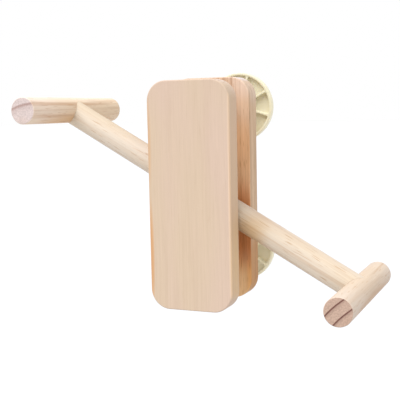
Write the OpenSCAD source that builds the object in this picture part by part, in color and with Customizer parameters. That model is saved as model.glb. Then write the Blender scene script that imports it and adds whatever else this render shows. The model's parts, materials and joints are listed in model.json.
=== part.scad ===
// Seesaw perch for a wire cage.
// A dowel beam with a cross perch at each end rocks on a steel pin between two rounded boards.
// Two hanger bolts behind the boards pass through the cage, and a ribbed washer with a wing nut
// on each one clamps the wires.
// Millimetres. +X is right, +Y is towards the cage, +Z is up. The origin lies on the plane that
// the cage's wires rest on, midway between the two hanger bolts.

/* [Boards] */
// Width of each board
board_w = 50; // [42:1:64]
// Height of each board
board_h = 131; // [110:1:170]
// Thickness of each board
board_t = 14; // [13:0.5:20]
// Radius of the boards' four corners
corner_r = 11.5; // [6:0.5:18]
// Radius of the small round along the boards' front edges
front_edge_r = 0.8; // [0.4:0.1:3]
// Radius of the round-over along the boards' rear edges
rear_edge_r = 2.5; // [1:0.5:4]
// How much higher the back board stands than the front board
back_lift = 1.9; // [0:0.1:3]
// Width of the spacer blocks between the boards
spacer_w = 24; // [18:1:30]
// Wood left on a spacer block beyond its hanger bolt
spacer_end = 9; // [7:0.5:12]

/* [Beam and perches] */
// Diameter of the beam
beam_d = 15; // [12:0.5:20]
// Diameter of the two perches
perch_d = 15.5; // [13:0.5:20]
// Length of each perch
perch_l = 101.5; // [80:0.5:140]
// How far the perches' middles lie in front of the beam's axis
perch_shift = 0.9; // [0:0.1:6]
// From the pivot to the left perch's axis
left_arm = 102.9; // [70:0.5:150]
// From the pivot to the right perch's axis
right_arm = 105.6; // [70:0.5:150]
// Steepest tilt of the beam either way, at which it meets its stops and rests
max_tilt = 29.5; // [15:0.5:35]
// How far the pivot lies below the middle of the boards
pivot_drop = 0.6; // [0:0.1:4]

/* [Pivot] */
// Diameter of the pivot pin
pin_d = 5; // [4:0.5:7]
// Depth of the pin's blind hole in each board
pin_bite = 11; // [7:0.5:12]
// Outer diameter of the two thrust washers
thrust_d = 12; // [9:0.5:14]
// Space between the beam and each board
side_gap = 2; // [0.6:0.1:4]
// Depth of the flats on the beam that the thrust washers bear on
flat_depth = 0.3; // [0.1:0.1:0.6]

/* [Cage fixing] */
// From the top of the boards to the upper hanger bolt
upper_bolt_inset = 15.5; // [12:0.1:30]
// From the bottom of the boards to the lower hanger bolt
lower_bolt_inset = 24; // [12:0.1:30]
// Thread diameter of the hanger bolts
bolt_d = 6; // [5:0.5:8]
// Length of the hanger bolts' wood thread inside the spacer blocks
bolt_bite = 13; // [8:0.5:14]
// Thread left beyond each wing nut
bolt_free = 7.5; // [3:0.5:20]
// Space between the perches' rear ends and the cage
cage_gap = 7.2; // [3:0.1:20]
// Space for the wires, between the stop washer and the ribbed washer
wire_gap = 3; // [1.5:0.1:6]
// Outer diameter of the ribbed washers
disc_d = 44; // [34:1:60]
// Thickness of the ribbed washers
disc_t = 5; // [4:0.1:8]
// Angle of the upper ribbed washer's first rib above the horizontal
upper_rib_angle = 29; // [0:1:44]
// Angle of the lower ribbed washer's first rib above the horizontal
lower_rib_angle = 10; // [0:1:44]

/* [Hidden] */
$fn = 96;
hull_fn = 32;

// Clearances
run_fit = 0.05;      // radial, between the pin and the beam
slide_fit = 0.1;     // radial, between a hanger bolt and its ribbed washer
thread_fit = 0.05;   // radial, between a hanger bolt and its wing nut
wood_fit = 0.03;     // radial, between a wooden hole and what is driven into it
glue_gap = 0.05;     // between the beam and the perch that it is coped to
washer_play = 0.1;   // between each thrust washer and its flat on the beam
stop_gap = 0.3;      // between the beam and a stop face at the steepest tilt
nut_play = 0.1;      // between a ribbed washer and its wing nut
hole_end = 0.5;      // air at the end of a blind hole

// Fixed details
screw_r = 2;
screw_head_r = 3.9;
screw_head_h = 2.6;
screw_head_rim = 0.4;
screw_tip = 5;
screw_bite = 12;
recess_l = 4.4;
recess_w = 0.9;
recess_depth = 1.6;
peg_d = 6;
peg_in_beam = 15;
peg_in_perch = 9.5;
perch_chamfer = 0.6;
pin_chamfer = 0.4;
bolt_tip = 6;
bolt_chamfer = 0.8;
stop_nut_flats = 10;
stop_nut_h = 5;
stop_washer_d = 18;
stop_washer_t = 1.6;
stop_washer_fit = 0.2;
disc_hub_d = 15;
disc_hub_drop = 0.4;
disc_web = 1.6;
disc_rim = 1.7;
disc_chamfer = 0.5;
disc_back_chamfer = 1;
rib_count = 8;
rib_w = 1.2;
rib_drop = 0.3;
wing_hub_base_d = 12.5;
wing_hub_top_d = 9.5;
wing_hub_h = 8;
wing_hub_skirt = 2;
wing_t = 2.4;
wing_tip_r = 4;
wing_span = 32;
wing_nut_h = 13.5;
upper_wing_angle = 24;
lower_wing_angle = -38;
overlap = 1;         // how far a cutting shape runs past the face that it cuts

// Radii
beam_r = beam_d / 2;
perch_r = perch_d / 2;
pin_r = pin_d / 2;
peg_r = peg_d / 2;
bolt_r = bolt_d / 2;
disc_r = disc_d / 2;

// Places along Y
gap = beam_d + 2 * side_gap;
perch_back = perch_l / 2 - perch_shift;
y_mid = -(perch_back + cage_gap);
y_front_inner = y_mid - gap / 2;
y_back_inner = y_mid + gap / 2;
y_front_face = y_front_inner - board_t;
y_back_face = y_back_inner + board_t;
y_disc = wire_gap;
y_nut = y_disc + disc_t + nut_play;
y_bolt_end = y_nut + wing_nut_h + bolt_free;
thrust_t = side_gap + flat_depth - washer_play;

// Heights
bolt_z = (board_h - upper_bolt_inset - lower_bolt_inset) / 2;
board_z = (upper_bolt_inset - lower_bolt_inset) / 2;
pivot_z = board_z - pivot_drop;

// Distance of a stop face from the pivot, straight up from it and at the side of the block
stop_nose = (beam_r + stop_gap) / cos(max_tilt);
stop_rise = spacer_w / 2 * tan(max_tilt);

// The screws stand evenly between the stop's nose and the hanger bolt.
// side is 1 above the pivot and -1 below it; step is 1 for the inner screw and 2 for the outer.
function bolt_height(side) = side * bolt_z - pivot_z;
function screw_z(side, step) =
    pivot_z + side * stop_nose + step / 3 * (bolt_height(side) - side * stop_nose);

// ---- Helpers ----

// A cylinder along Y, from y0 to y1
module rod(y0, y1, r) {
    translate([0, y0, 0]) rotate([-90, 0, 0]) cylinder(h = y1 - y0, r = r);
}

// A plate between y0 and y1, with its outline drawn in X and Z
module plate(y0, y1) {
    translate([0, y1, 0]) rotate([90, 0, 0]) linear_extrude(y1 - y0) children();
}

// A turned shape: its profile's X is the radius, and its Y runs along +Y from y0
module turned(y0) {
    translate([0, y0, 0]) rotate([-90, 0, 0]) rotate_extrude() children();
}

// A flat ring along Y
module ring(y0, t, r_out, r_in) {
    turned(y0) translate([r_in, 0]) square([r_out - r_in, t]);
}

// The beam's own frame: X along the beam, with the pivot at the origin
module in_beam() {
    translate([0, y_mid, pivot_z]) rotate([0, max_tilt, 0]) children();
}

// ---- Boards and what holds them together ----

module round_edged_disc() {
    rotate_extrude($fn = hull_fn)
        hull() {
            translate([0, -board_t / 2]) square([corner_r - rear_edge_r, board_t]);
            for (edge = [[-1, front_edge_r], [1, rear_edge_r]]) {
                side = edge[0];
                r = edge[1];
                translate([corner_r - r, side * (board_t / 2 - r)])
                    intersection() {
                        circle(r = r, $fn = hull_fn);
                        translate([0, -r]) square([r, 2 * r]);
                    }
            }
        }
}

module board_blank(y0, lift) {
    reach_x = board_w / 2 - corner_r;
    reach_z = board_h / 2 - corner_r;
    hull()
        for (x = [-reach_x, reach_x], z = [-reach_z, reach_z])
            translate([x, y0 + board_t / 2, board_z + lift + z])
                rotate([-90, 0, 0]) round_edged_disc();
}

// A countersunk wood screw driven from the rear face of the back board, or its hole
module wood_screw(side, step, grow = 0) {
    length = board_t + gap + screw_bite;
    translate([0, y_back_face, screw_z(side, step)])
        rotate([90, 0, 0])
            rotate_extrude()
                polygon([
                    [0, 0], [screw_head_r + grow, 0], [screw_head_r + grow, screw_head_rim],
                    [screw_r + grow, screw_head_h], [screw_r + grow, length - screw_tip],
                    [0, length + grow]
                ]);
}

module wood_screw_with_recess(side, step) {
    difference() {
        wood_screw(side, step);
        for (turn = [0, 90])
            translate([0, y_back_face, screw_z(side, step)])
                rotate([0, 45 + turn, 0])
                    translate([-recess_l / 2, -recess_depth, -recess_w / 2])
                        cube([recess_l, recess_depth + overlap, recess_w]);
    }
}

module wood_screw_holes() {
    for (side = [-1, 1], step = [1, 2]) wood_screw(side, step, wood_fit);
}

// A hanger bolt, or its hole in the wood
module hanger_bolt(side, grow = 0) {
    y0 = y_back_inner - bolt_bite;
    length = y_bolt_end - y0;
    translate([0, 0, side * bolt_z])
        turned(y0)
            polygon([
                [0, -grow], [bolt_r + grow, bolt_tip], [bolt_r + grow, length - bolt_chamfer],
                [bolt_r - bolt_chamfer + grow, length], [0, length]
            ]);
}

module hanger_bolt_holes() {
    for (side = [-1, 1]) hanger_bolt(side, wood_fit);
}

module pin_hole(r) {
    translate([0, 0, pivot_z]) rod(y_front_inner - pin_bite, y_back_inner + pin_bite, r);
}

module front_board() {
    color("#e6cdb4")
        difference() {
            board_blank(y_front_face, 0);
            wood_screw_holes();
            pin_hole(pin_r + wood_fit);
        }
}

module back_board() {
    color("#e2c7a8")
        difference() {
            board_blank(y_back_inner, back_lift);
            wood_screw_holes();
            hanger_bolt_holes();
            pin_hole(pin_r + wood_fit);
        }
}

// side is 1 for the upper block, and -1 for the lower one
module spacer_block(side) {
    half = spacer_w / 2;
    end = bolt_height(side) + side * spacer_end;
    difference() {
        translate([0, 0, pivot_z])
            plate(y_front_inner, y_back_inner)
                polygon([
                    [0, side * stop_nose], [half, side * (stop_nose + stop_rise)], [half, end],
                    [-half, end], [-half, side * (stop_nose + stop_rise)]
                ]);
        wood_screw_holes();
        hanger_bolt_holes();
    }
}

module upper_spacer() { color("#dcc19c") spacer_block(1); }
module lower_spacer() { color("#dcc19c") spacer_block(-1); }
module upper_outer_screw() { color("silver") wood_screw_with_recess(1, 2); }
module upper_inner_screw() { color("silver") wood_screw_with_recess(1, 1); }
module lower_inner_screw() { color("silver") wood_screw_with_recess(-1, 1); }
module lower_outer_screw() { color("silver") wood_screw_with_recess(-1, 2); }

// ---- Pivot ----

module pivot_pin() {
    length = gap + 2 * (pin_bite - hole_end);
    color("lightsteelblue")
        translate([0, 0, pivot_z])
            turned(y_mid - length / 2)
                polygon([
                    [0, 0], [pin_r - pin_chamfer, 0], [pin_r, pin_chamfer],
                    [pin_r, length - pin_chamfer], [pin_r - pin_chamfer, length], [0, length]
                ]);
}

module thrust_washer(y0) {
    color("white") translate([0, 0, pivot_z]) ring(y0, thrust_t, thrust_d / 2, pin_r + run_fit);
}

module front_thrust_washer() { thrust_washer(y_front_inner); }
module back_thrust_washer() { thrust_washer(y_back_inner - thrust_t); }

// ---- Beam and perches ----

// side is -1 for the left end and 1 for the right
function arm(side) = side < 0 ? left_arm : right_arm;

// The hole for a peg, or the peg itself with end_gap taken off each end
module peg_shape(side, r, end_gap) {
    root = arm(side) - perch_r - peg_in_beam + end_gap;
    tip = arm(side) - perch_r + peg_in_perch - end_gap;
    in_beam() rotate([0, side * 90, 0]) translate([0, 0, root]) cylinder(h = tip - root, r = r);
}

module beam() {
    flat_y = beam_r - flat_depth;
    color("#f0dfc6")
        difference() {
            in_beam()
                difference() {
                    translate([-left_arm, 0, 0])
                        rotate([0, 90, 0]) cylinder(h = left_arm + right_arm, r = beam_r);
                    for (side = [-1, 1])
                        translate([side * arm(side), 0, 0])
                            rod(-beam_d, beam_d, perch_r + glue_gap);
                    rod(-beam_d, beam_d, pin_r + run_fit);
                    rod(flat_y, beam_d, thrust_d / 2 + side_gap);
                    rod(-beam_d, -flat_y, thrust_d / 2 + side_gap);
                }
            for (side = [-1, 1]) peg_shape(side, peg_r + wood_fit, 0);
        }
}

module perch(side) {
    color("#efdcc0")
        difference() {
            in_beam()
                translate([side * arm(side), 0, 0])
                    turned(-perch_l / 2 - perch_shift)
                        polygon([
                            [0, 0], [perch_r - perch_chamfer, 0], [perch_r, perch_chamfer],
                            [perch_r, perch_l - perch_chamfer],
                            [perch_r - perch_chamfer, perch_l], [0, perch_l]
                        ]);
            peg_shape(side, peg_r + wood_fit, 0);
        }
}

module left_perch() { perch(-1); }
module right_perch() { perch(1); }
module left_peg() { color("burlywood") peg_shape(-1, peg_r, hole_end); }
module right_peg() { color("burlywood") peg_shape(1, peg_r, hole_end); }

// ---- Cage fixing; side is 1 for the upper set and -1 for the lower ----

module upper_hanger_bolt() { color("silver") hanger_bolt(1); }
module lower_hanger_bolt() { color("silver") hanger_bolt(-1); }

module stop_nut(side) {
    color("silver")
        translate([0, -stop_washer_t - stop_nut_h, side * bolt_z])
            rotate([-90, 0, 0])
                difference() {
                    cylinder(h = stop_nut_h, d = stop_nut_flats / cos(30), $fn = 6);
                    translate([0, 0, -overlap])
                        cylinder(h = stop_nut_h + 2 * overlap, r = bolt_r + thread_fit);
                }
}

module stop_washer(side) {
    color("gainsboro")
        translate([0, 0, side * bolt_z])
            ring(-stop_washer_t, stop_washer_t, stop_washer_d / 2, bolt_r + stop_washer_fit);
}

module ribbed_washer(side, rib_angle) {
    bore = bolt_r + slide_fit;
    hub_r = disc_hub_d / 2;
    floor_y = disc_t - disc_web;
    rim_in = disc_r - disc_rim;
    color("#e9e2c2")
        translate([0, 0, side * bolt_z]) {
            turned(y_disc)
                polygon([
                    [bore, disc_hub_drop], [hub_r, disc_hub_drop], [hub_r, floor_y],
                    [rim_in, floor_y], [rim_in, disc_chamfer], [rim_in + disc_chamfer, 0],
                    [disc_r - disc_chamfer, 0], [disc_r, disc_chamfer],
                    [disc_r, disc_t - disc_back_chamfer], [disc_r - disc_back_chamfer, disc_t],
                    [bore, disc_t]
                ]);
            for (i = [0 : rib_count - 1])
                rotate([0, -rib_angle - i * 360 / rib_count, 0])
                    translate([hub_r - overlap, y_disc + rib_drop, -rib_w / 2])
                        cube([rim_in - hub_r + 1.5 * overlap, floor_y - rib_drop + overlap / 2, rib_w]);
        }
}

module wing_nut(side, wing_angle) {
    tip_x = wing_span / 2 - wing_tip_r;
    tip_y = wing_nut_h - wing_tip_r;
    root_x = wing_hub_top_d / 2 - overlap;
    color("silver")
        translate([0, 0, side * bolt_z])
            rotate([0, -wing_angle, 0])
                difference() {
                    union() {
                        turned(y_nut)
                            polygon([
                                [0, 0], [wing_hub_base_d / 2, 0],
                                [wing_hub_base_d / 2, wing_hub_skirt],
                                [wing_hub_top_d / 2, wing_hub_h], [0, wing_hub_h]
                            ]);
                        for (turn = [0, 180])
                            rotate([0, turn, 0])
                                translate([0, y_nut, -wing_t / 2])
                                    linear_extrude(wing_t)
                                        hull() {
                                            translate([tip_x, tip_y])
                                                circle(r = wing_tip_r, $fn = hull_fn);
                                            translate([root_x, wing_hub_skirt])
                                                square([overlap, wing_hub_h - wing_hub_skirt - overlap]);
                                        }
                    }
                    rod(y_nut - overlap, y_nut + wing_nut_h, bolt_r + thread_fit);
                }
}

module upper_stop_nut() { stop_nut(1); }
module lower_stop_nut() { stop_nut(-1); }
module upper_stop_washer() { stop_washer(1); }
module lower_stop_washer() { stop_washer(-1); }
module upper_ribbed_washer() { ribbed_washer(1, upper_rib_angle); }
module lower_ribbed_washer() { ribbed_washer(-1, lower_rib_angle); }
module upper_wing_nut() { wing_nut(1, upper_wing_angle); }
module lower_wing_nut() { wing_nut(-1, lower_wing_angle); }

front_board();
back_board();
upper_spacer();
lower_spacer();
upper_outer_screw();
upper_inner_screw();
lower_inner_screw();
lower_outer_screw();
pivot_pin();
front_thrust_washer();
back_thrust_washer();
beam();
left_perch();
right_perch();
left_peg();
right_peg();
upper_hanger_bolt();
lower_hanger_bolt();
upper_stop_nut();
lower_stop_nut();
upper_stop_washer();
lower_stop_washer();
upper_ribbed_washer();
lower_ribbed_washer();
upper_wing_nut();
lower_wing_nut();
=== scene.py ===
# %% [markdown]
# # A cage seesaw in wood, plastic and zinc
# The object is a small wooden seesaw for a bird cage. A dowel beam with a cross perch at each end rocks
# between two rounded pine boards, and two hanger bolts with ribbed plastic washers and wing nuts clamp the
# boards to the cage's wires. The CAD model already says where everything is. This script keeps those
# places, and gives each piece the edges, threads, ribs and surfaces that the real one has.

# %% Load the fixed frame
import json
import math

import bmesh
import bpy
from mathutils import Matrix, Vector


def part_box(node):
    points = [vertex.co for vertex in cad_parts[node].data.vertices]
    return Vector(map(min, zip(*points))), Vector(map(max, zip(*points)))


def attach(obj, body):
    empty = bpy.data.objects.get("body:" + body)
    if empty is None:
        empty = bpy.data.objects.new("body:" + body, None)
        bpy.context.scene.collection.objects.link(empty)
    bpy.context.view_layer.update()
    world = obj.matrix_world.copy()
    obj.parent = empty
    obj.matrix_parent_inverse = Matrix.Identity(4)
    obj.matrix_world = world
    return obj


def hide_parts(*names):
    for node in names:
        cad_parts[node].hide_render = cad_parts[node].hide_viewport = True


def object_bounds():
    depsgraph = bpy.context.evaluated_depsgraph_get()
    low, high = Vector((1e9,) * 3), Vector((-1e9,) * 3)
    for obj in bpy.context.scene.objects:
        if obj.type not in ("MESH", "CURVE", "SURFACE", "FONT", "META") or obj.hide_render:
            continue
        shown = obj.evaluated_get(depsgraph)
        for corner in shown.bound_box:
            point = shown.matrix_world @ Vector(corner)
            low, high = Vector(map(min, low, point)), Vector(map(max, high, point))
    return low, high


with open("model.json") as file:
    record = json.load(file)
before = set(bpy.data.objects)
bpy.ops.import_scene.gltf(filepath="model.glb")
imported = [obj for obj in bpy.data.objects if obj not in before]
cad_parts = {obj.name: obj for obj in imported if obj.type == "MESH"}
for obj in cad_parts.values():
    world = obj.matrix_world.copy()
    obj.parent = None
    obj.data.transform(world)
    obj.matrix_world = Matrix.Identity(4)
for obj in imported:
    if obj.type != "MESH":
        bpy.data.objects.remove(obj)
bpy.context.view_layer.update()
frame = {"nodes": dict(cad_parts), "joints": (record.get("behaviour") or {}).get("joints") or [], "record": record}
MM = 0.001

# %% [markdown]
# Sizes and places are read from the frame, so a change in the CAD model carries over. A node's box gives
# its middle and its size. The beam's tilt is the slope from one perch's middle to the other's.


# %% Measure the frame
def middle(node):
    low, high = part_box(node)
    return (low + high) / 2


def size(node):
    low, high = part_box(node)
    return high - low


joints = {joint["name"]: joint for joint in frame["joints"]}
pivot = Vector(joints["seesaw_rock"]["pos_m"])
beam_run = middle("right_perch") - middle("left_perch")
tilt = math.atan2(-beam_run.z, beam_run.x)
beam_way = Vector((math.cos(tilt), 0, -math.sin(tilt)))
perch_r = size("right_perch").x / 2
beam_r = size("beam").y / 2
pin_r = size("pivot_pin").x / 2
bolt_r = size("upper_hanger_bolt").x / 2
print(f"beam tilt {math.degrees(tilt):.1f} deg, beam radius {beam_r / MM:.2f} mm,",
      f"perch radius {perch_r / MM:.2f} mm")

# %% [markdown]
# ## The camera
# The object is looked at from its right and a little above, through a short telephoto, which keeps the
# boards' edges nearly parallel. The camera aims at a point near the pivot, and leans slightly, as a
# hand-held one does. Depth of field stays off so that every view is sharp.

# %% Camera
CAMERA_TURN = math.radians(23.15)
CAMERA_RISE = math.radians(6.11)
CAMERA_LEAN = math.radians(-1.18)
CAMERA_DISTANCE = 489.8 * MM
SENSOR_WIDTH = 36
LENS_LENGTH = 74.7
AIM_OFFSET = Vector((-3.2, 0, -3.7)) * MM

camera_back = Vector((
    math.sin(CAMERA_TURN) * math.cos(CAMERA_RISE),
    -math.cos(CAMERA_TURN) * math.cos(CAMERA_RISE),
    math.sin(CAMERA_RISE),
))
camera_data = bpy.data.cameras.new("camera")
camera_data.sensor_width = SENSOR_WIDTH
camera_data.lens = LENS_LENGTH
camera_data.clip_start = 10 * MM
camera = bpy.data.objects.new("camera", camera_data)
bpy.context.scene.collection.objects.link(camera)
camera.location = pivot + AIM_OFFSET + camera_back * CAMERA_DISTANCE
upright = (-camera_back).to_track_quat("-Z", "Y").to_matrix().to_4x4()
camera.rotation_euler = (upright @ Matrix.Rotation(CAMERA_LEAN, 4, "Z")).to_euler()
bpy.context.scene.camera = camera
print("camera at", [round(v / MM) for v in camera.location], "mm")

# %% [markdown]
# ## Shaders as code
# A shader is a small network of nodes. One function adds any node and fills its inputs, which may be plain
# values or other nodes' outputs, so that each material below reads from top to bottom like a recipe.


# %% Helpers for nodes
def new_object(name, mesh):
    made = bpy.data.objects.new(name, mesh)
    bpy.context.scene.collection.objects.link(made)
    return made


def add(tree, kind, inputs=None, out=0, **settings):
    """Adds one node, sets its settings, and sets or links its inputs. Returns one output socket."""
    node = tree.nodes.new("ShaderNode" + kind)
    for name, value in settings.items():
        setattr(node, name, value)
    for socket, value in (inputs or {}).items():
        if isinstance(value, bpy.types.NodeSocket):
            tree.links.new(value, node.inputs[socket])
        else:
            node.inputs[socket].default_value = value
    return node.outputs[out] if node.outputs else None


def srgb(code):
    """A colour picked as sRGB hex, turned to the linear values that shaders work in."""
    channels = [int(code[i:i + 2], 16) / 255 for i in (1, 3, 5)]
    return (*[c / 12.92 if c < 0.04045 else ((c + 0.055) / 1.055) ** 2.4 for c in channels], 1)


def new_material(name):
    """An empty material with its output, its tree, and the shader node that feeds it."""
    made = bpy.data.materials.new(name)
    made.use_nodes = True
    made.node_tree.nodes.clear()
    surface = add(made.node_tree, "BsdfPrincipled")
    add(made.node_tree, "OutputMaterial", {"Surface": surface})
    return made, made.node_tree, surface.node


# %% [markdown]
# ## The studio
# A white, evenly lit room suits a catalogue picture. The whole room glows white, and the floor is a pale
# grey that the lamp lifts to white as well, so that its horizon hardly shows. The floor lies well under the
# object, because the object hangs on a cage wall and not on the ground. One very wide soft lamp, high at the
# front left, models the round dowels: their tops are brightest and their undersides are left to the room.

# %% Floor, room and lamp
FLOOR_HALF = 30
FLOOR_DROP = 400 * MM
LAMP_TURN = math.radians(-27)
LAMP_RISE = math.radians(60)
LAMP_SPREAD = math.radians(50)
LAMP_POWER = 3.15
LAMP_COLOUR = "#EEF3FF"

floor_bm = bmesh.new()
bmesh.ops.create_grid(floor_bm, x_segments=1, y_segments=1, size=FLOOR_HALF)
bmesh.ops.translate(floor_bm, verts=floor_bm.verts, vec=(0, 0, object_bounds()[0].z - FLOOR_DROP))
floor_mesh = bpy.data.meshes.new("floor")
floor_bm.to_mesh(floor_mesh)
floor_bm.free()
floor = new_object("floor", floor_mesh)
floor_paint, _, floor_shader = new_material("floor_matt_pale_paint")
floor_shader.inputs["Base Color"].default_value = srgb("#CACACA")
floor_shader.inputs["Roughness"].default_value = 0.95
floor_shader.inputs["Specular IOR Level"].default_value = 0.1
floor.data.materials.append(floor_paint)

world = bpy.data.worlds.new("white_room")
bpy.context.scene.world = world
world.use_nodes = True
world.node_tree.nodes.clear()
glow = add(world.node_tree, "Background", {"Color": (1, 1, 1, 1), "Strength": 1.0})
add(world.node_tree, "OutputWorld", {"Surface": glow})

lamp_data = bpy.data.lights.new("soft_lamp", "SUN")
lamp_data.angle = LAMP_SPREAD
lamp_data.energy = LAMP_POWER
lamp_data.color = srgb(LAMP_COLOUR)[:3]
lamp = bpy.data.objects.new("soft_lamp", lamp_data)
bpy.context.scene.collection.objects.link(lamp)
lamp_way = Vector((
    math.sin(LAMP_TURN) * math.cos(LAMP_RISE),
    -math.cos(LAMP_TURN) * math.cos(LAMP_RISE),
    math.sin(LAMP_RISE),
))
lamp.rotation_euler = (-lamp_way).to_track_quat("-Z", "Y").to_euler()
bpy.context.scene.view_settings.view_transform = "Standard"
print("lamp from", [round(v, 2) for v in lamp_way])

# %% [markdown]
# ## Wood
# All the wood is sawn and sanded pine without varnish. Its figure comes from growth rings: pale wide
# earlywood, then a thin darker line of latewood. Because the rings are shells around the tree's heart, one
# solid pattern gives long lines on a dowel's side and arcs on its cut end, and they join at the edge. The
# pattern is worked out in the wood's own frame: Z runs along the grain, and the heart is the Z axis. Finer
# layers are the fibres, short resin flecks and slow changes of tone. Raw wood is dull: the roughness stays
# near 0.6, and the bump is a few hundredths of a millimetre.


# %% Pine
NOISE_MIDDLE = {"From Min": 0.38, "From Max": 0.62}


def pine(name, along, heart, ring_gap, tones, end_tones, seed,
         rings=0.3, ring_start=0.0, streaks=0.3, flecks=0.4, wander=1.0, fibres=1.0):
    """Raw pine. along is the grain's direction, heart a point on the tree's heart, ring_gap in mm.

    rings, streaks and flecks say how far each goes towards the dark tone. wander bends the rings, and
    fibres scales the fine fibre shading.
    """
    made, tree, shader = new_material(name)
    place = add(tree, "TexCoord", out="Object")
    wood = add(tree, "Mapping", {
        "Vector": place, "Location": heart, "Rotation": along.to_track_quat("Z", "Y").to_euler()},
        vector_type="TEXTURE")

    # Every noise below is squeezed along the grain, so that it runs long that way. Sizes are in mm.
    layers = {}
    for layer, (grain, stretch, detail) in {
            "sway": (14, 8, 1), "fade": (20, 10, 1), "fibre": (0.45, 50, 3),
            "band": (2.6, 30, 2), "fleck": (0.7, 14, 1), "tone": (24, 4, 1)}.items():
        squeezed = add(tree, "Mapping", {
            "Vector": wood, "Scale": (1, 1, 1 / stretch), "Location": (seed + grain, seed * 0.7, grain)})
        layers[layer] = add(
            tree, "TexNoise", {"Vector": squeezed, "Scale": 1 / (grain * MM), "Detail": detail},
            out="Color" if layer == "sway" else 0)

    # Rings: the distance from the heart, pushed about a little, repeats once a ring gap.
    centred = add(tree, "VectorMath", {0: layers["sway"], 1: (-0.5, -0.5, -0.5)}, operation="ADD")
    pushed = add(tree, "VectorMath", {
        0: centred, 1: (2 * wander * MM,) * 3, 2: wood}, operation="MULTIPLY_ADD")
    across = add(tree, "VectorMath", {0: pushed, 1: (1, 1, 0)}, operation="MULTIPLY")
    distance = add(tree, "VectorMath", {0: across}, out="Value", operation="LENGTH")
    years = add(tree, "Math", {0: distance, 1: 1 / (ring_gap * MM), 2: ring_start}, operation="MULTIPLY_ADD")
    year = add(tree, "Math", {0: years}, operation="FRACT")
    profile = add(tree, "ValToRGB", {"Fac": year})
    ramp = profile.node.color_ramp
    ramp.elements[0].color = (0.35, 0.35, 0.35, 1)
    ramp.elements[1].color = (0.55, 0.55, 0.55, 1)
    for position, level in ((0.05, 0.04), (0.6, 0.06), (0.84, 0.3), (0.92, 0.9), (0.965, 1.0)):
        ramp.elements.new(position).color = (level, level, level, 1)
    seen = add(tree, "MapRange", {"Value": layers["fade"], "To Min": 0.25, **NOISE_MIDDLE})
    ring = add(tree, "Math", {0: profile, 1: seen}, operation="MULTIPLY")

    # Long grain: a slow change of tone, then rings, streaks, flecks and fibres over it.
    tone = add(tree, "MapRange", {"Value": layers["tone"], **NOISE_MIDDLE})
    light, warm, dark = (srgb(code) for code in tones)
    colour = add(tree, "Mix", {0: tone, 6: light, 7: warm}, out=2, data_type="RGBA")
    for source, low, high, share in (
            (ring, 0.0, 1.0, rings),
            (layers["band"], 0.5, 0.75, streaks),
            (layers["fleck"], 0.63, 0.73, flecks)):
        amount = add(tree, "MapRange", {
            "Value": source, "From Min": low, "From Max": high, "To Max": share})
        colour = add(tree, "Mix", {0: amount, 6: colour, 7: dark}, out=2, data_type="RGBA")
    shade = add(tree, "MapRange", {
        "Value": layers["fibre"], "From Min": 0.3, "From Max": 0.7,
        "To Min": 1 - 0.06 * fibres, "To Max": 1 + 0.05 * fibres})
    colour = add(tree, "VectorMath", {0: colour, "Scale": shade}, operation="SCALE")

    # Cut ends show the open cells: duller and pinker, with hard rings and mottled pores. Real pores are
    # far finer than 0.6 mm, and are drawn that coarse so that they show.
    normal = add(tree, "TexCoord", out="Normal")
    facing = add(tree, "VectorMath", {0: normal, 1: along}, out="Value", operation="DOT_PRODUCT")
    facing = add(tree, "Math", {0: facing}, operation="ABSOLUTE")
    cut = add(tree, "MapRange", {"Value": facing, "From Min": 0.75, "From Max": 0.93})
    pores = add(tree, "TexNoise", {"Vector": wood, "Scale": 1 / (0.6 * MM), "Detail": 3.0})
    pores = add(tree, "MapRange", {
        "Value": pores, "From Min": 0.3, "From Max": 0.7, "To Min": 0.8, "To Max": 1.13})
    end_face = add(tree, "Mix", {
        0: profile, 6: srgb(end_tones[0]), 7: srgb(end_tones[1])}, out=2, data_type="RGBA")
    end_face = add(tree, "VectorMath", {0: end_face, "Scale": pores}, operation="SCALE")
    colour = add(tree, "Mix", {0: cut, 6: colour, 7: end_face}, out=2, data_type="RGBA")
    tree.links.new(colour, shader.inputs["Base Color"])

    rough = add(tree, "MapRange", {"Value": layers["fibre"], "To Min": 0.5, "To Max": 0.72})
    rough = add(tree, "Math", {0: cut, 1: 0.15, 2: rough}, operation="MULTIPLY_ADD")
    tree.links.new(rough, shader.inputs["Roughness"])
    height = add(tree, "Math", {0: ring, 1: 0.3, 2: layers["fibre"]}, operation="MULTIPLY_ADD")
    bump = add(tree, "Bump", {"Height": height, "Distance": 0.05 * MM, "Strength": 0.6})
    tree.links.new(bump, shader.inputs["Normal"])
    shader.inputs["IOR"].default_value = 1.48
    shader.inputs["Specular IOR Level"].default_value = 0.3
    return made
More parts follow.
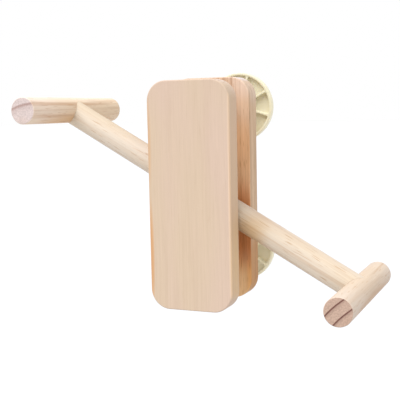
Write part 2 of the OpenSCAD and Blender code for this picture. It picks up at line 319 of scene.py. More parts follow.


# %% [markdown]
# Soft patches tint the wood. Most of them paint light and shade into its colour: paler patches stand for light on
# a rim, a corner and the face in the slot, and warm darker ones for shade under the dowels and deep in the slot.
# A few only shift the tone. Each patch is a soft ellipsoid in the wood: its tint multiplies the colour that the
# rings have already given, and a gain over 1 makes it paler.


# %% Soft patches of tone and painted light
def tone_and_painted_light_patches(material, origin, rows):
    """Tints a wood in soft ellipsoids, mostly painted light and shade. A row is a centre from origin and half axes
    in mm, a tint, a gain.
    """
    tree = material.node_tree
    shader = next(node for node in tree.nodes if node.type == "BSDF_PRINCIPLED")
    for centre, reach, tint, gain in rows:
        tint = (*[gain * channel for channel in srgb(tint)[:3]], 1)
        below = shader.inputs["Base Color"].links[0].from_socket
        place = add(tree, "TexCoord", out="Object")
        offset = add(tree, "VectorMath", {0: place, 1: origin + Vector(centre) * MM}, operation="SUBTRACT")
        scaled = add(tree, "VectorMath", {0: offset, 1: Vector(reach) * MM}, operation="DIVIDE")
        distance = add(tree, "VectorMath", {0: scaled}, out="Value", operation="LENGTH")
        inside = add(tree, "MapRange", {
            "Value": distance, "From Min": 0.45, "From Max": 1.0, "To Min": 1.0, "To Max": 0.0},
            interpolation_type="SMOOTHSTEP")
        tinted = add(tree, "Mix", {0: inside, 6: below, 7: tint}, out=2, data_type="RGBA",
                     blend_type="MULTIPLY")
        tree.links.new(tinted, shader.inputs["Base Color"])


# %% [markdown]
# No two pieces come from the same plank. The front board is pale and almost without figure, and the back
# board is warmer and strongly lined. Its face in the slot carries painted light and shade: it is painted paler
# where light reaches in, and darker orange under the beam, where the beam's shade falls. Where a piece's heart
# lies decides how its rings curve: the left perch is cut from a thick tree with wide rings, and the right one
# shows arcs.

# %% The woods of this object
UP = Vector((0, 0, 1))
THROUGH = Vector((0, 1, 0))
END_TONES = ("#B99C88", "#5F352B")
BOARD_END_TONES = ("#CDB9A9", "#A98B76")

front_wood = pine(
    "pine_front_board", UP, middle("front_board") + Vector((120, 22, 0)) * MM, 2.1,
    ("#C5AC97", "#C4AD93", "#A4876B"), BOARD_END_TONES, seed=3.1, rings=0.1, streaks=0.1, flecks=0.1,
    fibres=0.55)
# Front board: a warmer tone along the left edge, high and low, and a faint warm tint down the right edge. Painted
# light: the rim of the front face on the right, which turns away from the lamp, is painted paler, as if lit. The
# lower right side is made paler too.
tone_and_painted_light_patches(front_wood, middle("front_board"), [
    ((-24.5, -4, -34), (2.9, 8, 44), "#FFDDB8", 1.0),
    ((-25, -4, 30), (3, 8, 40), "#FFEEDC", 1.0),
    ((26, 1, 0), (2.4, 16, 110), "#FFF8EA", 1.0),
    ((25, -7, 0), (1.6, 1.8, 120), "#FFFDF6", 1.16),
    ((26, 1, -46), (2.4, 16, 46), "#FFFDF0", 1.12),
])
back_wood = pine(
    "pine_back_board", UP, middle("back_board") + Vector((-80, 40, 0)) * MM, 2.4,
    ("#C8AA8A", "#C2A07C", "#87592F"), BOARD_END_TONES, seed=7.7, rings=0.42, streaks=0.42, flecks=0.5)
# Painted light and shade on the back board's face in the slot: the whole face and its upper middle are painted
# paler, as if lit, a warm darker band paints the shade under the beam, and the bottom is painted paler where light
# comes in from below.
tone_and_painted_light_patches(back_wood, middle("back_board") - Vector((0, size("back_board").y / 2, 0)), [
    ((0, 0, 0), (60, 0.6, 120), "#F4F3F8", 1.33),
    ((0, 0, 18), (60, 0.6, 32), "#FFF3E0", 1.22),
    ((0, 0, -22), (60, 0.6, 34), "#F2C092", 1.0),
    ((0, 0, -56), (60, 0.6, 20), "#FFFCE8", 1.25),
])
# Painted highlight: the back board's rounded top right corner is painted pale and cool, where the lamp catches it.
# Low on the right side the wood is tinted warmer and darker.
tone_and_painted_light_patches(back_wood, middle("back_board"), [
    ((22, 0, 64), (16, 14, 18), "#E2ECFF", 1.45),
    ((25, 0, -52), (5, 14, 36), "#F2DAB8", 1.0),
])
beam_wood = pine(
    "pine_beam", beam_way, middle("beam") + Vector((6, 8, -34)) * MM, 5.2,
    ("#CFC1B0", "#CCBBA2", "#A3743F"), END_TONES, seed=1.7, rings=0.42, streaks=0.24, flecks=0.55)
# Painted shade: the beam's underside beside the boards, where it lies in their shade, is tinted warmer and darker.
tone_and_painted_light_patches(beam_wood, pivot + beam_way * 32 * MM, [((0, 0, -5), (18, 16, 13), "#F6E4CA", 1.0)])
left_wood = pine(
    "pine_left_perch", THROUGH, middle("left_perch") + Vector((10, 0, -42)) * MM, 12.0,
    ("#E3D1BF", "#DEC8AC", "#A66E38"), ("#CBBAB2", "#A58A80"), seed=5.2, ring_start=0.1,
    rings=0.18, streaks=0.4, wander=0.4)
# Painted shade: the perch's underside is tinted warmer and darker.
tone_and_painted_light_patches(left_wood, middle("left_perch"), [((0, 0, -6), (12, 60, 8), "#EDD8BC", 1.0)])
right_wood = pine(
    "pine_right_perch", THROUGH, middle("right_perch") + Vector((41, 0, -44)) * MM, 6.2,
    ("#CDBCAB", "#C9B59D", "#A3743F"), END_TONES, seed=9.4, ring_start=0.705, rings=0.35,
    streaks=0.2, wander=0.4)
# Painted shade: the perch's underside is tinted warmer and darker.
tone_and_painted_light_patches(right_wood, middle("right_perch"), [((5, 0, -5), (9, 60, 9), "#EFDECC", 1.0)])
spacer_wood = pine(
    "pine_spacer", UP, middle("upper_spacer") + Vector((-30, 50, 0)) * MM, 3.3,
    ("#C9AB82", "#C09F73", "#8F6434"), END_TONES, seed=2.4)
peg_wood = pine(
    "beech_peg", beam_way, middle("left_peg") + Vector((0, 30, 20)) * MM, 2.5,
    ("#BC9668", "#B48B5B", "#8B5F35"), END_TONES, seed=6.0, rings=0.2)

# %% [markdown]
# ## Plastic and metal
# The ribbed washers are injection-moulded in cream ABS: smooth, softly glossy, and a little uneven in
# tone where the melt flowed. The thrust washers are natural nylon, which is milky and dull. The fasteners
# are steel with bright zinc plate. Zinc has a fine frosty grain and a faint blue cast. The pivot pin is
# plain ground steel, with grinding marks around it.


# %% Plastic and metal
def moulded(name, tones, roughness, milky, coat):
    """Injection-moulded plastic. milky is how much light soaks in and spreads, as a weight."""
    made, tree, shader = new_material(name)
    place = add(tree, "TexCoord", out="Object")
    flow = add(tree, "TexNoise", {"Vector": place, "Scale": 1 / (9 * MM), "Distortion": 1.5})
    skin = add(tree, "TexNoise", {"Vector": place, "Scale": 1 / (0.5 * MM)})
    colour = add(tree, "Mix", {0: flow, 6: srgb(tones[0]), 7: srgb(tones[1])}, out=2, data_type="RGBA")
    tree.links.new(colour, shader.inputs["Base Color"])
    rough = add(tree, "MapRange", {"Value": skin, "To Min": roughness - 0.06, "To Max": roughness + 0.08})
    tree.links.new(rough, shader.inputs["Roughness"])
    bump = add(tree, "Bump", {"Height": skin, "Distance": 0.02 * MM, "Strength": 0.35})
    tree.links.new(bump, shader.inputs["Normal"])
    shader.inputs["IOR"].default_value = 1.53
    shader.inputs["Subsurface Weight"].default_value = milky
    shader.inputs["Subsurface Radius"].default_value = (1.0, 0.9, 0.6)
    shader.inputs["Subsurface Scale"].default_value = 1.2 * MM
    shader.inputs["Coat Weight"].default_value = coat
    return made


def steel(name, tones, roughness, grain, marks):
    """Bare or plated steel. grain is its frost's size in mm, and marks squeezes it into rings around Y."""
    made, tree, shader = new_material(name)
    place = add(tree, "TexCoord", out="Object")
    drawn = add(tree, "Mapping", {"Vector": place, "Scale": (1, marks, 1)})
    frost = add(tree, "TexNoise", {"Vector": drawn, "Scale": 1 / (grain * MM), "Detail": 3.0})
    cloud = add(tree, "TexNoise", {"Vector": place, "Scale": 1 / (5 * MM)})
    colour = add(tree, "Mix", {0: cloud, 6: srgb(tones[0]), 7: srgb(tones[1])}, out=2, data_type="RGBA")
    tree.links.new(colour, shader.inputs["Base Color"])
    rough = add(tree, "MapRange", {"Value": frost, "To Min": roughness - 0.08, "To Max": roughness + 0.12})
    tree.links.new(rough, shader.inputs["Roughness"])
    bump = add(tree, "Bump", {"Height": frost, "Distance": 0.01 * MM, "Strength": 0.5})
    tree.links.new(bump, shader.inputs["Normal"])
    shader.inputs["Metallic"].default_value = 1.0
    return made


cream_abs = moulded("cream_abs", ("#E6DEC1", "#DED5B1"), 0.36, 0.1, 0.15)
nylon = moulded("natural_nylon", ("#DEDCD2", "#D4D1C4"), 0.5, 0.25, 0.0)
zinc = steel("zinc_plated_steel", ("#BFC3C9", "#A9ADB4"), 0.34, 0.25, 1)
ground = steel("ground_steel", ("#B5B5B8", "#A3A3A6"), 0.22, 0.3, 12)

# %% [markdown]
# ## Turning a bmesh into a piece
# Each shape is built where it belongs, in metres, so that its object can sit at the origin. The mesh is
# shaded smooth except at edges sharper than 35 degrees, and weighted normals keep the flats flat beside a
# round-over.

# %% Helpers for pieces
SHARP = math.radians(35)
WELD = 0.002 * MM
bodies = frame["record"]["behaviour"]["bodies"]
body_of_node = {node: body for body, nodes in bodies.items() for node in nodes}


def to_mesh(bm, name):
    """Closes the bmesh into a mesh with clean outward normals."""
    bmesh.ops.remove_doubles(bm, verts=bm.verts, dist=WELD)
    bmesh.ops.recalc_face_normals(bm, faces=bm.faces)
    mesh = bpy.data.meshes.new(name)
    bm.to_mesh(mesh)
    bm.free()
    return mesh


def place_piece(name, mesh, node, material):
    """Puts a finished mesh in the scene in place of its CAD node."""
    mesh.shade_smooth()
    mesh.set_sharp_from_angle(angle=SHARP)
    piece = new_object(name, mesh)
    piece.data.materials.append(material)
    weigh = piece.modifiers.new("flat_faces_stay_flat", "WEIGHTED_NORMAL")
    weigh.keep_sharp = True
    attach(piece, body_of_node[node])
    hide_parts(node)
    print(f"{name}: {len(mesh.polygons)} faces")
    return piece


def carve(mesh, cutters):
    """Cuts each cutter mesh out of mesh, and returns the new mesh."""
    target = new_object("carve_target", mesh)
    tools = []
    for number, cutter in enumerate(cutters):
        tool = new_object(f"carve_tool_{number}", cutter)
        cut = target.modifiers.new(f"cut_{number}", "BOOLEAN")
        cut.object = tool
        cut.solver = "EXACT"
        tools.append(tool)
    bpy.context.view_layer.update()
    shaped = target.evaluated_get(bpy.context.evaluated_depsgraph_get())
    carved = bpy.data.meshes.new_from_object(shaped)
    for spare in [target, *tools]:
        bpy.data.objects.remove(spare)
    return carved


def turned_about_y(profile, centre, steps=96):
    """Spins a profile of (radius, y) points about the Y axis through centre. y is measured from centre."""
    bm = bmesh.new()
    points = [bm.verts.new((r, y, 0)) for r, y in profile]
    edges = [bm.edges.new(pair) for pair in zip(points, points[1:])]
    bmesh.ops.spin(bm, geom=points + edges, cent=(0, 0, 0), axis=(0, 1, 0),
                   angle=math.tau, steps=steps, use_merge=True)
    bmesh.ops.remove_doubles(bm, verts=bm.verts, dist=WELD)
    bmesh.ops.translate(bm, verts=bm.verts, vec=centre)
    return bm


# %% [markdown]
# ## The boards
# Each board starts as a block. Its four upright corners are beveled wide. The rim of the front face is only
# eased with paper, and the rim of the rear face is rounded with a router bit, so they get two bevels of
# their own. Holes come last: the countersunk screws and the hanger bolts enter from behind, and the front
# face stays clean.

# %% Boards
CORNER_R = 11.5 * MM
FRONT_ROUND = 0.8 * MM
REAR_ROUND = 2.5 * MM
SCREWS = ("upper_outer_screw", "upper_inner_screw", "lower_inner_screw", "lower_outer_screw")
BOLTS = ("upper_hanger_bolt", "lower_hanger_bolt")
HEAD_R = size(SCREWS[0]).x / 2
HEAD_RIM = 0.4 * MM
HEAD_DEPTH = 2.6 * MM
SCREW_R = 2 * MM
WOOD_FIT = 0.03 * MM
rear_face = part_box("back_board")[1].y


def board(node):
    """A rounded board without its holes."""
    low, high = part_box(node)
    bm = bmesh.new()
    bmesh.ops.create_cube(bm, size=1)
    bmesh.ops.scale(bm, vec=size(node), verts=bm.verts)
    bmesh.ops.translate(bm, vec=middle(node), verts=bm.verts)
    upright = [e for e in bm.edges if abs(e.verts[0].co.y - e.verts[1].co.y) > MM]
    bmesh.ops.bevel(bm, geom=upright, offset=CORNER_R, offset_type="OFFSET", affect="EDGES",
                    segments=20, profile=0.5, material=-1)
    for face_y, radius, steps in ((low.y, FRONT_ROUND, 4), (high.y, REAR_ROUND, 8)):
        rim = [e for e in bm.edges if all(abs(v.co.y - face_y) < MM / 100 for v in e.verts)]
        bmesh.ops.bevel(bm, geom=rim, offset=radius, offset_type="OFFSET", affect="EDGES",
                        segments=steps, profile=0.5, material=-1)
    return to_mesh(bm, node)


def hole_cutter(profile, centre):
    return to_mesh(turned_about_y(profile, centre, 48), "hole")


def screw_hole(node):
    """The countersunk hole of one wood screw, seen from behind, as a cutter."""
    length = size(node).y
    return hole_cutter([
        (0, MM), (HEAD_R + WOOD_FIT, MM), (HEAD_R + WOOD_FIT, -HEAD_RIM), (SCREW_R + WOOD_FIT, -HEAD_DEPTH),
        (SCREW_R + WOOD_FIT, -length), (0, -length),
    ], Vector((middle(node).x, rear_face, middle(node).z)))


def bolt_hole(node):
    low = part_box(node)[0].y
    hole_r, hole_end = bolt_r + WOOD_FIT, rear_face - low + MM
    return hole_cutter([(0, -MM), (hole_r, -MM), (hole_r, hole_end), (0, hole_end)],
                       Vector((middle(node).x, low, middle(node).z)))


pin_length = size("pivot_pin").y
pin_hole = [
    (0, -MM / 2), (pin_r + WOOD_FIT, -MM / 2),
    (pin_r + WOOD_FIT, pin_length + MM / 2), (0, pin_length + MM / 2)]
pin_start = Vector((pivot.x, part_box("pivot_pin")[0].y, pivot.z))
for node, wood in (("front_board", front_wood), ("back_board", back_wood)):
    cutters = [screw_hole(screw) for screw in SCREWS] + [hole_cutter(pin_hole, pin_start)]
    if node == "back_board":
        cutters += [bolt_hole(bolt) for bolt in BOLTS]
    place_piece(node + "_wood", carve(board(node), cutters), node, wood)

# %% [markdown]
# ## The beam
# A coped joint is what a plumber or a chair maker cuts: the beam's end is scooped out to sit around the
# perch. On a cylinder whose cap is cut into level strips, the scoop is one formula: each strip moves to
# where the perch's round is at its height. A hair of glue gap is left, so the joint shows as a thin line.
# The pin's hole, the pegs' holes and two small flats for the thrust washers are cut last.

# %% Beam
BEAM_SIDES = 96
GLUE_GAP = 0.05 * MM
RUN_FIT = 0.05 * MM
FLAT_DEPTH = 0.3 * MM
FLAT_Y = beam_r - FLAT_DEPTH
FLAT_R = size("front_thrust_washer").x / 2 + MM
ALONG_X = Matrix.Rotation(math.pi / 2, 4, "Y")
ALONG_Y = Matrix.Rotation(math.pi / 2, 4, "X")


def beam_frame():
    """The matrix that lays the X axis along the tilted beam, with the pivot as origin."""
    return Matrix.Translation(pivot) @ Matrix.Rotation(tilt, 4, "Y")


def strip_cap(bm, end_x):
    """Cuts a cap into level strips, so that it can bend into a scoop."""
    rim = [v for v in bm.verts if abs(v.co.x - end_x) < MM / 10]
    for front in [v for v in rim if v.co.y < -MM / 10]:
        rear = min(rim, key=lambda v: (v.co.y + front.co.y) ** 2 + (v.co.z - front.co.z) ** 2)
        bmesh.ops.connect_verts(bm, verts=[front, rear])


def cope(end, side, arm):
    """Moves the vertices of a cap back onto the round of the perch that it meets."""
    for v in end:
        v.co.x = side * (arm - math.sqrt((perch_r + GLUE_GAP) ** 2 - v.co.z ** 2))


left_arm = (middle("left_perch") - pivot).dot(-beam_way)
right_arm = (middle("right_perch") - pivot).dot(beam_way)
bm = bmesh.new()
bmesh.ops.create_cone(bm, cap_ends=True, segments=BEAM_SIDES, radius1=beam_r, radius2=beam_r,
                      depth=left_arm + right_arm, matrix=ALONG_X)
bmesh.ops.translate(bm, verts=bm.verts, vec=((right_arm - left_arm) / 2, 0, 0))
for side, arm in ((-1, left_arm), (1, right_arm)):
    strip_cap(bm, side * arm)
    cope([v for v in bm.verts if v.co.x * side > arm - MM], side, arm)
print("beam arms", round(left_arm / MM, 1), round(right_arm / MM, 1), "mm")


def rod_along_y(radius, y0, y1, sides=48):
    """A plain cylinder along Y through the origin, as a cutter in the beam's frame."""
    rod = bmesh.new()
    bmesh.ops.create_cone(rod, cap_ends=True, segments=sides, radius1=radius, radius2=radius,
                          depth=y1 - y0, matrix=ALONG_Y)
    bmesh.ops.translate(rod, verts=rod.verts, vec=(0, (y0 + y1) / 2, 0))
    rod.transform(beam_frame())
    return to_mesh(rod, "cutter")


def peg_hole(node):
    """A round hole around a peg, a little longer than the peg, as a cutter."""
    hole = bmesh.new()
    peg_r = size(node).y / 2 + WOOD_FIT
    peg_length = size(node).x / math.cos(tilt) - 2 * peg_r * math.tan(tilt) + MM
    bmesh.ops.create_cone(hole, cap_ends=True, segments=32, radius1=peg_r, radius2=peg_r,
                          depth=peg_length, matrix=ALONG_X)
    hole.transform(Matrix.Translation(middle(node)) @ Matrix.Rotation(tilt, 4, "Y"))
    return to_mesh(hole, "cutter")


bm.transform(beam_frame())
beam_mesh = carve(to_mesh(bm, "beam"), [
    rod_along_y(pin_r + RUN_FIT, -2 * beam_r, 2 * beam_r),
    rod_along_y(FLAT_R, FLAT_Y, 2 * beam_r), rod_along_y(FLAT_R, -2 * beam_r, -FLAT_Y),
    peg_hole("left_peg"), peg_hole("right_peg"),
])
place_piece("beam_dowel", beam_mesh, "beam", beam_wood)

# %% [markdown]
# ## The perches
# A perch is a length of dowel whose sawn ends have been touched on a sander, which leaves a small uneven
# round instead of a knife edge. A cylinder with its end rims beveled gives that. The hole for the joint's
# peg is drilled from the beam's side.

# %% Perches
SANDED = 0.6 * MM
for node, peg, wood in (("left_perch", "left_peg", left_wood), ("right_perch", "right_peg", right_wood)):
    bm = bmesh.new()
    bmesh.ops.create_cone(bm, cap_ends=True, segments=BEAM_SIDES, radius1=perch_r, radius2=perch_r,
                          depth=size(node).y, matrix=ALONG_Y)
    rims = [e for e in bm.edges if abs(e.verts[0].co.y - e.verts[1].co.y) < MM]
    bmesh.ops.bevel(bm, geom=rims, offset=SANDED, offset_type="OFFSET", affect="EDGES",
                    segments=4, profile=0.5, material=-1)
    bmesh.ops.translate(bm, verts=bm.verts, vec=middle(node))
    place_piece(node + "_dowel", carve(to_mesh(bm, node), [peg_hole(peg)]), node, wood)

# %% [markdown]
# ## The ribbed washers
# A moulded washer is one skin that runs from the bore over the hub, down to the thin web, up the rim and
# round the back. A grid makes it: one direction of the grid follows that section, and the other goes round
# the disc. Bent into a ring, the grid closes both ways. The ribs are raised where a column of the grid lies
# on a rib, and the columns keep a constant distance from the rib's middle line, so its walls stay straight.
# Near the hub and the rim the columns spread, which draws the small fillets that help a part leave its
# mould, and the hub and rim lean a little for the same reason.

# %% Ribbed washers
RIBS = 8
RIB_DROP = 0.3 * MM
RIB_FOOT = 0.95
FILLET_REACH = 0.9 * MM
FILLET_FLARE = 1.1
DRAFT = 0.15 * MM
HUB_R = 7.5 * MM
HUB_DROP = 0.4 * MM
RIM_WALL = 1.7 * MM
WEB = 1.6 * MM
SLIDE_FIT = 0.1 * MM
disc_r = size("upper_ribbed_washer").x / 2
disc_t = size("upper_ribbed_washer").y
rim_in = disc_r - RIM_WALL
web_top = disc_t - WEB


def rounded(corner, before, after, radius, steps=3):
    """Points along a small round where a section turns a corner."""
    corner, before, after = Vector(corner), Vector(before), Vector(after)
    start = corner + (before - corner).normalized() * radius
    end = corner + (after - corner).normalized() * radius
    points = []
    for i in range(steps + 1):
        t = i / steps
        points.append(tuple(start * (1 - t) ** 2 + corner * 2 * t * (1 - t) + end * t ** 2))
    return points


def washer_section():
    """The closed section as (radius, depth) points. Depth 0 is the front."""
    bore = bolt_r + SLIDE_FIT
    corners = [
        (bore, HUB_DROP, 0.3), (HUB_R, HUB_DROP, 0.4), (HUB_R + DRAFT, web_top, 0.5),
        (rim_in - DRAFT, web_top, 0.6), (rim_in, 0, 0.5), (disc_r, 0, 0.6),
        (disc_r, disc_t, 1.0), (bore, disc_t, 0.3)]
    section = []
    for i, (r, y, radius) in enumerate(corners):
        before, after = corners[i - 1][:2], corners[(i + 1) % len(corners)][:2]
        section += rounded((r, y), before, after, radius * MM)
        if i == 2:
            inner, outer = HUB_R + 0.65 * MM, rim_in - 0.75 * MM
            section += [(inner + (outer - inner) * k / 14, web_top) for k in range(1, 14)]
    return section


def ribbed_washer(name, node, first_rib):
    section = washer_section()
    # A column's distance in mm from the rib's middle line, and how much of the rib's height is there.
    rib_columns = [(-RIB_FOOT, 0.0), (-0.68, 0.06), (-0.58, 0.9), (-0.4, 1.0), (0.0, 1.0),
                   (0.4, 1.0), (0.58, 0.9), (0.68, 0.06), (RIB_FOOT, 0.0)]
    open_columns = 9
    per_rib = len(rib_columns) + open_columns
    rows, columns = len(section), per_rib * RIBS
    bm = bmesh.new()
    bmesh.ops.create_grid(bm, x_segments=rows, y_segments=columns, size=1)
    centre = Vector((middle(node).x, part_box(node)[0].y, middle(node).z))
    span = math.tau / RIBS
    for v in bm.verts:
        row = round((v.co.x + 1) / 2 * rows) % rows
        column = round((v.co.y + 1) / 2 * columns) % columns
        rib, place = divmod(column, per_rib)
        r, y = section[row]
        on_web = 0.0
        if HUB_R - 0.2 * MM < r < rim_in + 0.2 * MM and y < disc_t - WEB / 2:
            near_hub = math.exp(-max(r - HUB_R, 0) / FILLET_REACH)
            near_rim = math.exp(-max(rim_in - r, 0) / FILLET_REACH)
            flare = 1 + FILLET_FLARE * (near_hub + near_rim)
            on_web = max(0.0, min(1.0, (y - RIB_DROP) / (web_top - RIB_DROP)))
        else:
            flare = 1.0
        reach = math.asin(min(RIB_FOOT * MM * flare / max(r, 2 * MM), 0.9))
        if place < len(rib_columns):
            offset, height = rib_columns[place]
            angle = math.asin(max(-0.9, min(0.9, offset * MM * flare / max(r, 2 * MM))))
            y = y - (y - RIB_DROP) * height * (1 if on_web > 0 else 0)
        else:
            share = (place - len(rib_columns) + 1) / (open_columns + 1)
            angle = reach + (span - 2 * reach) * share
        angle += first_rib + rib * span
        v.co = centre + Vector((r * math.cos(angle), y, r * math.sin(angle)))
    return place_piece(name, to_mesh(bm, name), node, cream_abs)


ribbed_washer("upper_washer_moulding", "upper_ribbed_washer", math.radians(29))
ribbed_washer("lower_washer_moulding", "lower_ribbed_washer", math.radians(10))

# %% [markdown]
# ## The hanger bolts
# A screw thread is one V-shaped profile swept along a helix. `bmesh.ops.spin` does this when it is given a
# step along the axis as well as an angle: neighbouring turns then share their edges and weld together. The
# helix is made too long, and two planes trim it. The M6 thread has a pitch of 1 mm, and its root lies 0.6 mm
# under the crest. A plain neck and a pointed shank continue into the wood.

# %% Hanger bolts
PITCH = 1.0 * MM
THREAD_DEPTH = 0.6 * MM
STEPS_A_TURN = 32
TIP_LENGTH = 6 * MM
END_CHAMFER = 0.8 * MM
END_DROP = 0.2 * MM
THREAD_WELD = 0.004 * MM


def open_loops(bm, y):
    return [e for e in bm.edges if e.is_boundary
            and all(abs(v.co.y - y) < 0.01 * MM for v in e.verts)]


def hanger_bolt(node):
    low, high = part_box(node)
    start, end = rear_face - MM, high.y
    bm = bmesh.new()
    root = bolt_r - THREAD_DEPTH
    # One turn of the V: the radius, and the share of the pitch where it is reached.
    profile = [(root, 0.0), (root, 0.12), (bolt_r, 0.43), (bolt_r, 0.57), (root, 0.88), (root, 1.0)]
    points = [bm.verts.new((r, start - PITCH * 1.5 + share * PITCH, 0)) for r, share in profile]
    edges = [bm.edges.new(pair) for pair in zip(points, points[1:])]
    turns = math.ceil((end - start) / PITCH) + 3
    bmesh.ops.spin(bm, geom=points + edges, cent=(0, 0, 0), axis=(0, 1, 0), angle=-math.tau * turns,
                   steps=STEPS_A_TURN * turns, dvec=(0, PITCH / STEPS_A_TURN, 0), use_merge=False)
    bmesh.ops.remove_doubles(bm, verts=bm.verts, dist=THREAD_WELD)
    for y, normal in ((start, (0, -1, 0)), (end, (0, 1, 0))):
        bmesh.ops.bisect_plane(bm, geom=bm.verts[:] + bm.edges[:] + bm.faces[:], dist=0.001 * MM,
                               plane_co=(0, y, 0), plane_no=normal, clear_outer=True)
    for v in bm.verts:
        limit = root - END_DROP + (end - v.co.y)
        radius = math.hypot(v.co.x, v.co.z)
        if end - v.co.y < END_CHAMFER and radius > limit:
            v.co.x *= limit / radius
            v.co.z *= limit / radius
    shank = [(0, low.y), (bolt_r, low.y + TIP_LENGTH), (bolt_r, start - MM)]
    points = [bm.verts.new((r, y, 0)) for r, y in shank]
    edges = [bm.edges.new(pair) for pair in zip(points, points[1:])]
    bmesh.ops.spin(bm, geom=points + edges, cent=(0, 0, 0), axis=(0, 1, 0), angle=math.tau,
                   steps=STEPS_A_TURN, use_merge=True)
    bmesh.ops.remove_doubles(bm, verts=bm.verts, dist=THREAD_WELD)
    bmesh.ops.bridge_loops(bm, edges=open_loops(bm, start) + open_loops(bm, start - MM))
    bmesh.ops.holes_fill(bm, edges=open_loops(bm, end), sides=0)
    bmesh.ops.translate(bm, verts=bm.verts, vec=(middle(node).x, 0, middle(node).z))
    return place_piece(node + "_thread", to_mesh(bm, node), node, zinc)


for node in BOLTS:
    hanger_bolt(node)

# %% [markdown]
# ## Nuts and washers
# A hex nut is pressed from bar, and its corners are turned down at 30 degrees, which leaves the curved
# scallops on each flat. The nut is a lofted ring: each of its rims follows the hexagon, and dips where the
# hexagon reaches past the chamfer's circle. The steel stop washer is punched: one rim is rounded by the die.

# %% Stop nuts and washers
HEX_SIDES = 96
THREAD_FIT = 0.05 * MM
WASHER_FIT = 0.2 * MM
HEX_CHAMFER = math.radians(30)


def hex_radius(angle, flats):
    """Distance from the centre to a hexagon's outline, with flats as its width across flats."""
    within = (angle + math.pi / 6) % (math.pi / 3) - math.pi / 6
    return flats / 2 / math.cos(within)


def stop_nut(node):
    low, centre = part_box(node)[0], middle(node)
    flats, height = size(node).z, size(node).y
    bore, circle = bolt_r + THREAD_FIT, flats / 2 * 1.02
    mouth, face_r = 0.5 * MM, circle - 0.3 * MM
    rings = [("round", bore, mouth), ("round", bore + mouth, 0.0), ("round", face_r, 0.0),
             ("hex", 0, 1), ("hex", 0, -1),
             ("round", face_r, height), ("round", bore + mouth, height), ("round", bore, height - mouth)]
    bm = bmesh.new()
    bmesh.ops.create_grid(bm, x_segments=len(rings), y_segments=HEX_SIDES, size=1)
    for v in bm.verts:
        kind, a, b = rings[round((v.co.x + 1) / 2 * len(rings)) % len(rings)]
        angle = round((v.co.y + 1) / 2 * HEX_SIDES) / HEX_SIDES * math.tau
        if kind == "round":
            r, y = a, b
        else:
            r = hex_radius(angle - math.pi / 2, flats)
            dip = max(r - circle, 0) * math.tan(HEX_CHAMFER) + 0.12 * MM
            y = dip if b > 0 else height - dip
        v.co = Vector((centre.x + r * math.cos(angle), low.y + y, centre.z + r * math.sin(angle)))
    return place_piece(node + "_steel", to_mesh(bm, node), node, zinc)


def stop_washer(node):
    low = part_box(node)[0]
    outer, inner, thick = size(node).x / 2, bolt_r + WASHER_FIT, size(node).y
    die, burr = 0.35 * MM, 0.08 * MM
    bm = turned_about_y([
        (inner, burr), (inner + burr, 0), (outer - die, 0), (outer - die * 0.3, die * 0.3), (outer, die),
        (outer, thick - burr), (outer - burr, thick), (inner + burr, thick), (inner, thick - burr),
        (inner, burr)], Vector((middle(node).x, low.y, middle(node).z)))
    return place_piece(node + "_steel", to_mesh(bm, node), node, zinc)


for side in ("upper", "lower"):
    stop_nut(side + "_stop_nut")
    stop_washer(side + "_stop_washer")

# %% [markdown]
# ## The wing nuts
# A wing nut is forged hot, so its wings flow into the hub without a crease. Hub and wings are modelled as
# overlapping solids, and a voxel remesh melts them into one skin that a light smoothing then softens. The
# bore is cut afterwards, so that it stays round.

# %% Wing nuts
HUB_BASE_R = 6.25 * MM
HUB_TOP_R = 4.75 * MM
HUB_H = 8 * MM
SKIRT = 2 * MM
WING_TIP_R = 4 * MM
WING_SPAN = 32 * MM
WING_THICK = 2.4 * MM
WING_ROOT = 2.5 * MM
ROOT_DROP = 1.2 * MM
# The arm's outer corners, measured from the middle of the tip: outwards, and along the bolt.
ARM_TOP = (-1.6 * MM, 3.55 * MM)
ARM_FOOT = (1.9 * MM, -3.45 * MM)
VOXEL = 0.28 * MM


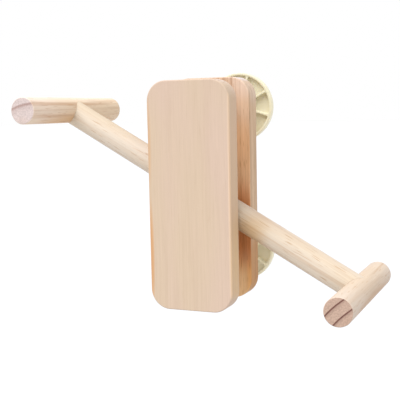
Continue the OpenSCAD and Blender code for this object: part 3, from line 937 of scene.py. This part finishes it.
def wing_nut(node, wing_turn):
    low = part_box(node)[0]
    centre = Vector((middle(node).x, low.y, middle(node).z))
    bm = turned_about_y([(0, 0), (HUB_BASE_R, 0), (HUB_BASE_R, SKIRT), (HUB_TOP_R, HUB_H), (0, HUB_H)],
                        Vector((0, 0, 0)), 64)
    tip_x, tip_y = WING_SPAN / 2 - WING_TIP_R, size(node).y - WING_TIP_R
    for side in (1, -1):
        lobe = bmesh.ops.create_cone(bm, cap_ends=True, segments=48, radius1=WING_TIP_R,
                                     radius2=WING_TIP_R, depth=WING_THICK)["verts"]
        bmesh.ops.translate(bm, verts=lobe, vec=(side * tip_x, tip_y, 0))
        arm = bmesh.ops.create_cube(bm, size=1)["verts"]
        for v in arm:
            at_top = v.co.y > 0
            v.co.z *= WING_THICK
            if v.co.x * side > 0:
                outwards, along = ARM_TOP if at_top else ARM_FOOT
                v.co.x = side * (tip_x + outwards)
                v.co.y = tip_y + along
            else:
                v.co.x = side * WING_ROOT
                v.co.y = HUB_H - ROOT_DROP if at_top else SKIRT
    bmesh.ops.recalc_face_normals(bm, faces=bm.faces)
    rough = bpy.data.meshes.new(node)
    bm.to_mesh(rough)
    bm.free()
    forging = new_object("forging", rough)
    melt = forging.modifiers.new("melt", "REMESH")
    melt.mode = "VOXEL"
    melt.voxel_size = VOXEL
    soften = forging.modifiers.new("soften", "SMOOTH")
    soften.factor = 0.5
    soften.iterations = 6
    shaped = forging.evaluated_get(bpy.context.evaluated_depsgraph_get())
    skin = bpy.data.meshes.new_from_object(shaped)
    bpy.data.objects.remove(forging)
    skin.transform(Matrix.Translation(centre) @ Matrix.Rotation(-wing_turn, 4, "Y"))
    bore_r, height = bolt_r + THREAD_FIT, size(node).y
    bore = hole_cutter([(0, -MM), (bore_r, -MM), (bore_r, height), (0, height)], centre)
    return place_piece(node + "_forging", carve(skin, [bore]), node, zinc)


wing_nut("upper_wing_nut", math.radians(24))
wing_nut("lower_wing_nut", math.radians(-38))

# %% [markdown]
# ## The CAD pieces that stay
# The spacer blocks, screws, pegs, thrust washers and pivot pin already have their true shape, and little of
# them shows. They only need their real finish.

# %% Finishes for the kept CAD nodes
kept = {
    "upper_spacer": spacer_wood, "lower_spacer": spacer_wood,
    "left_peg": peg_wood, "right_peg": peg_wood,
    "pivot_pin": ground,
    "front_thrust_washer": nylon, "back_thrust_washer": nylon,
    **{screw: zinc for screw in SCREWS},
}
for node, material in kept.items():
    data = frame["nodes"][node].data
    data.materials.clear()
    data.materials.append(material)
print("CAD nodes kept:", sorted(kept))
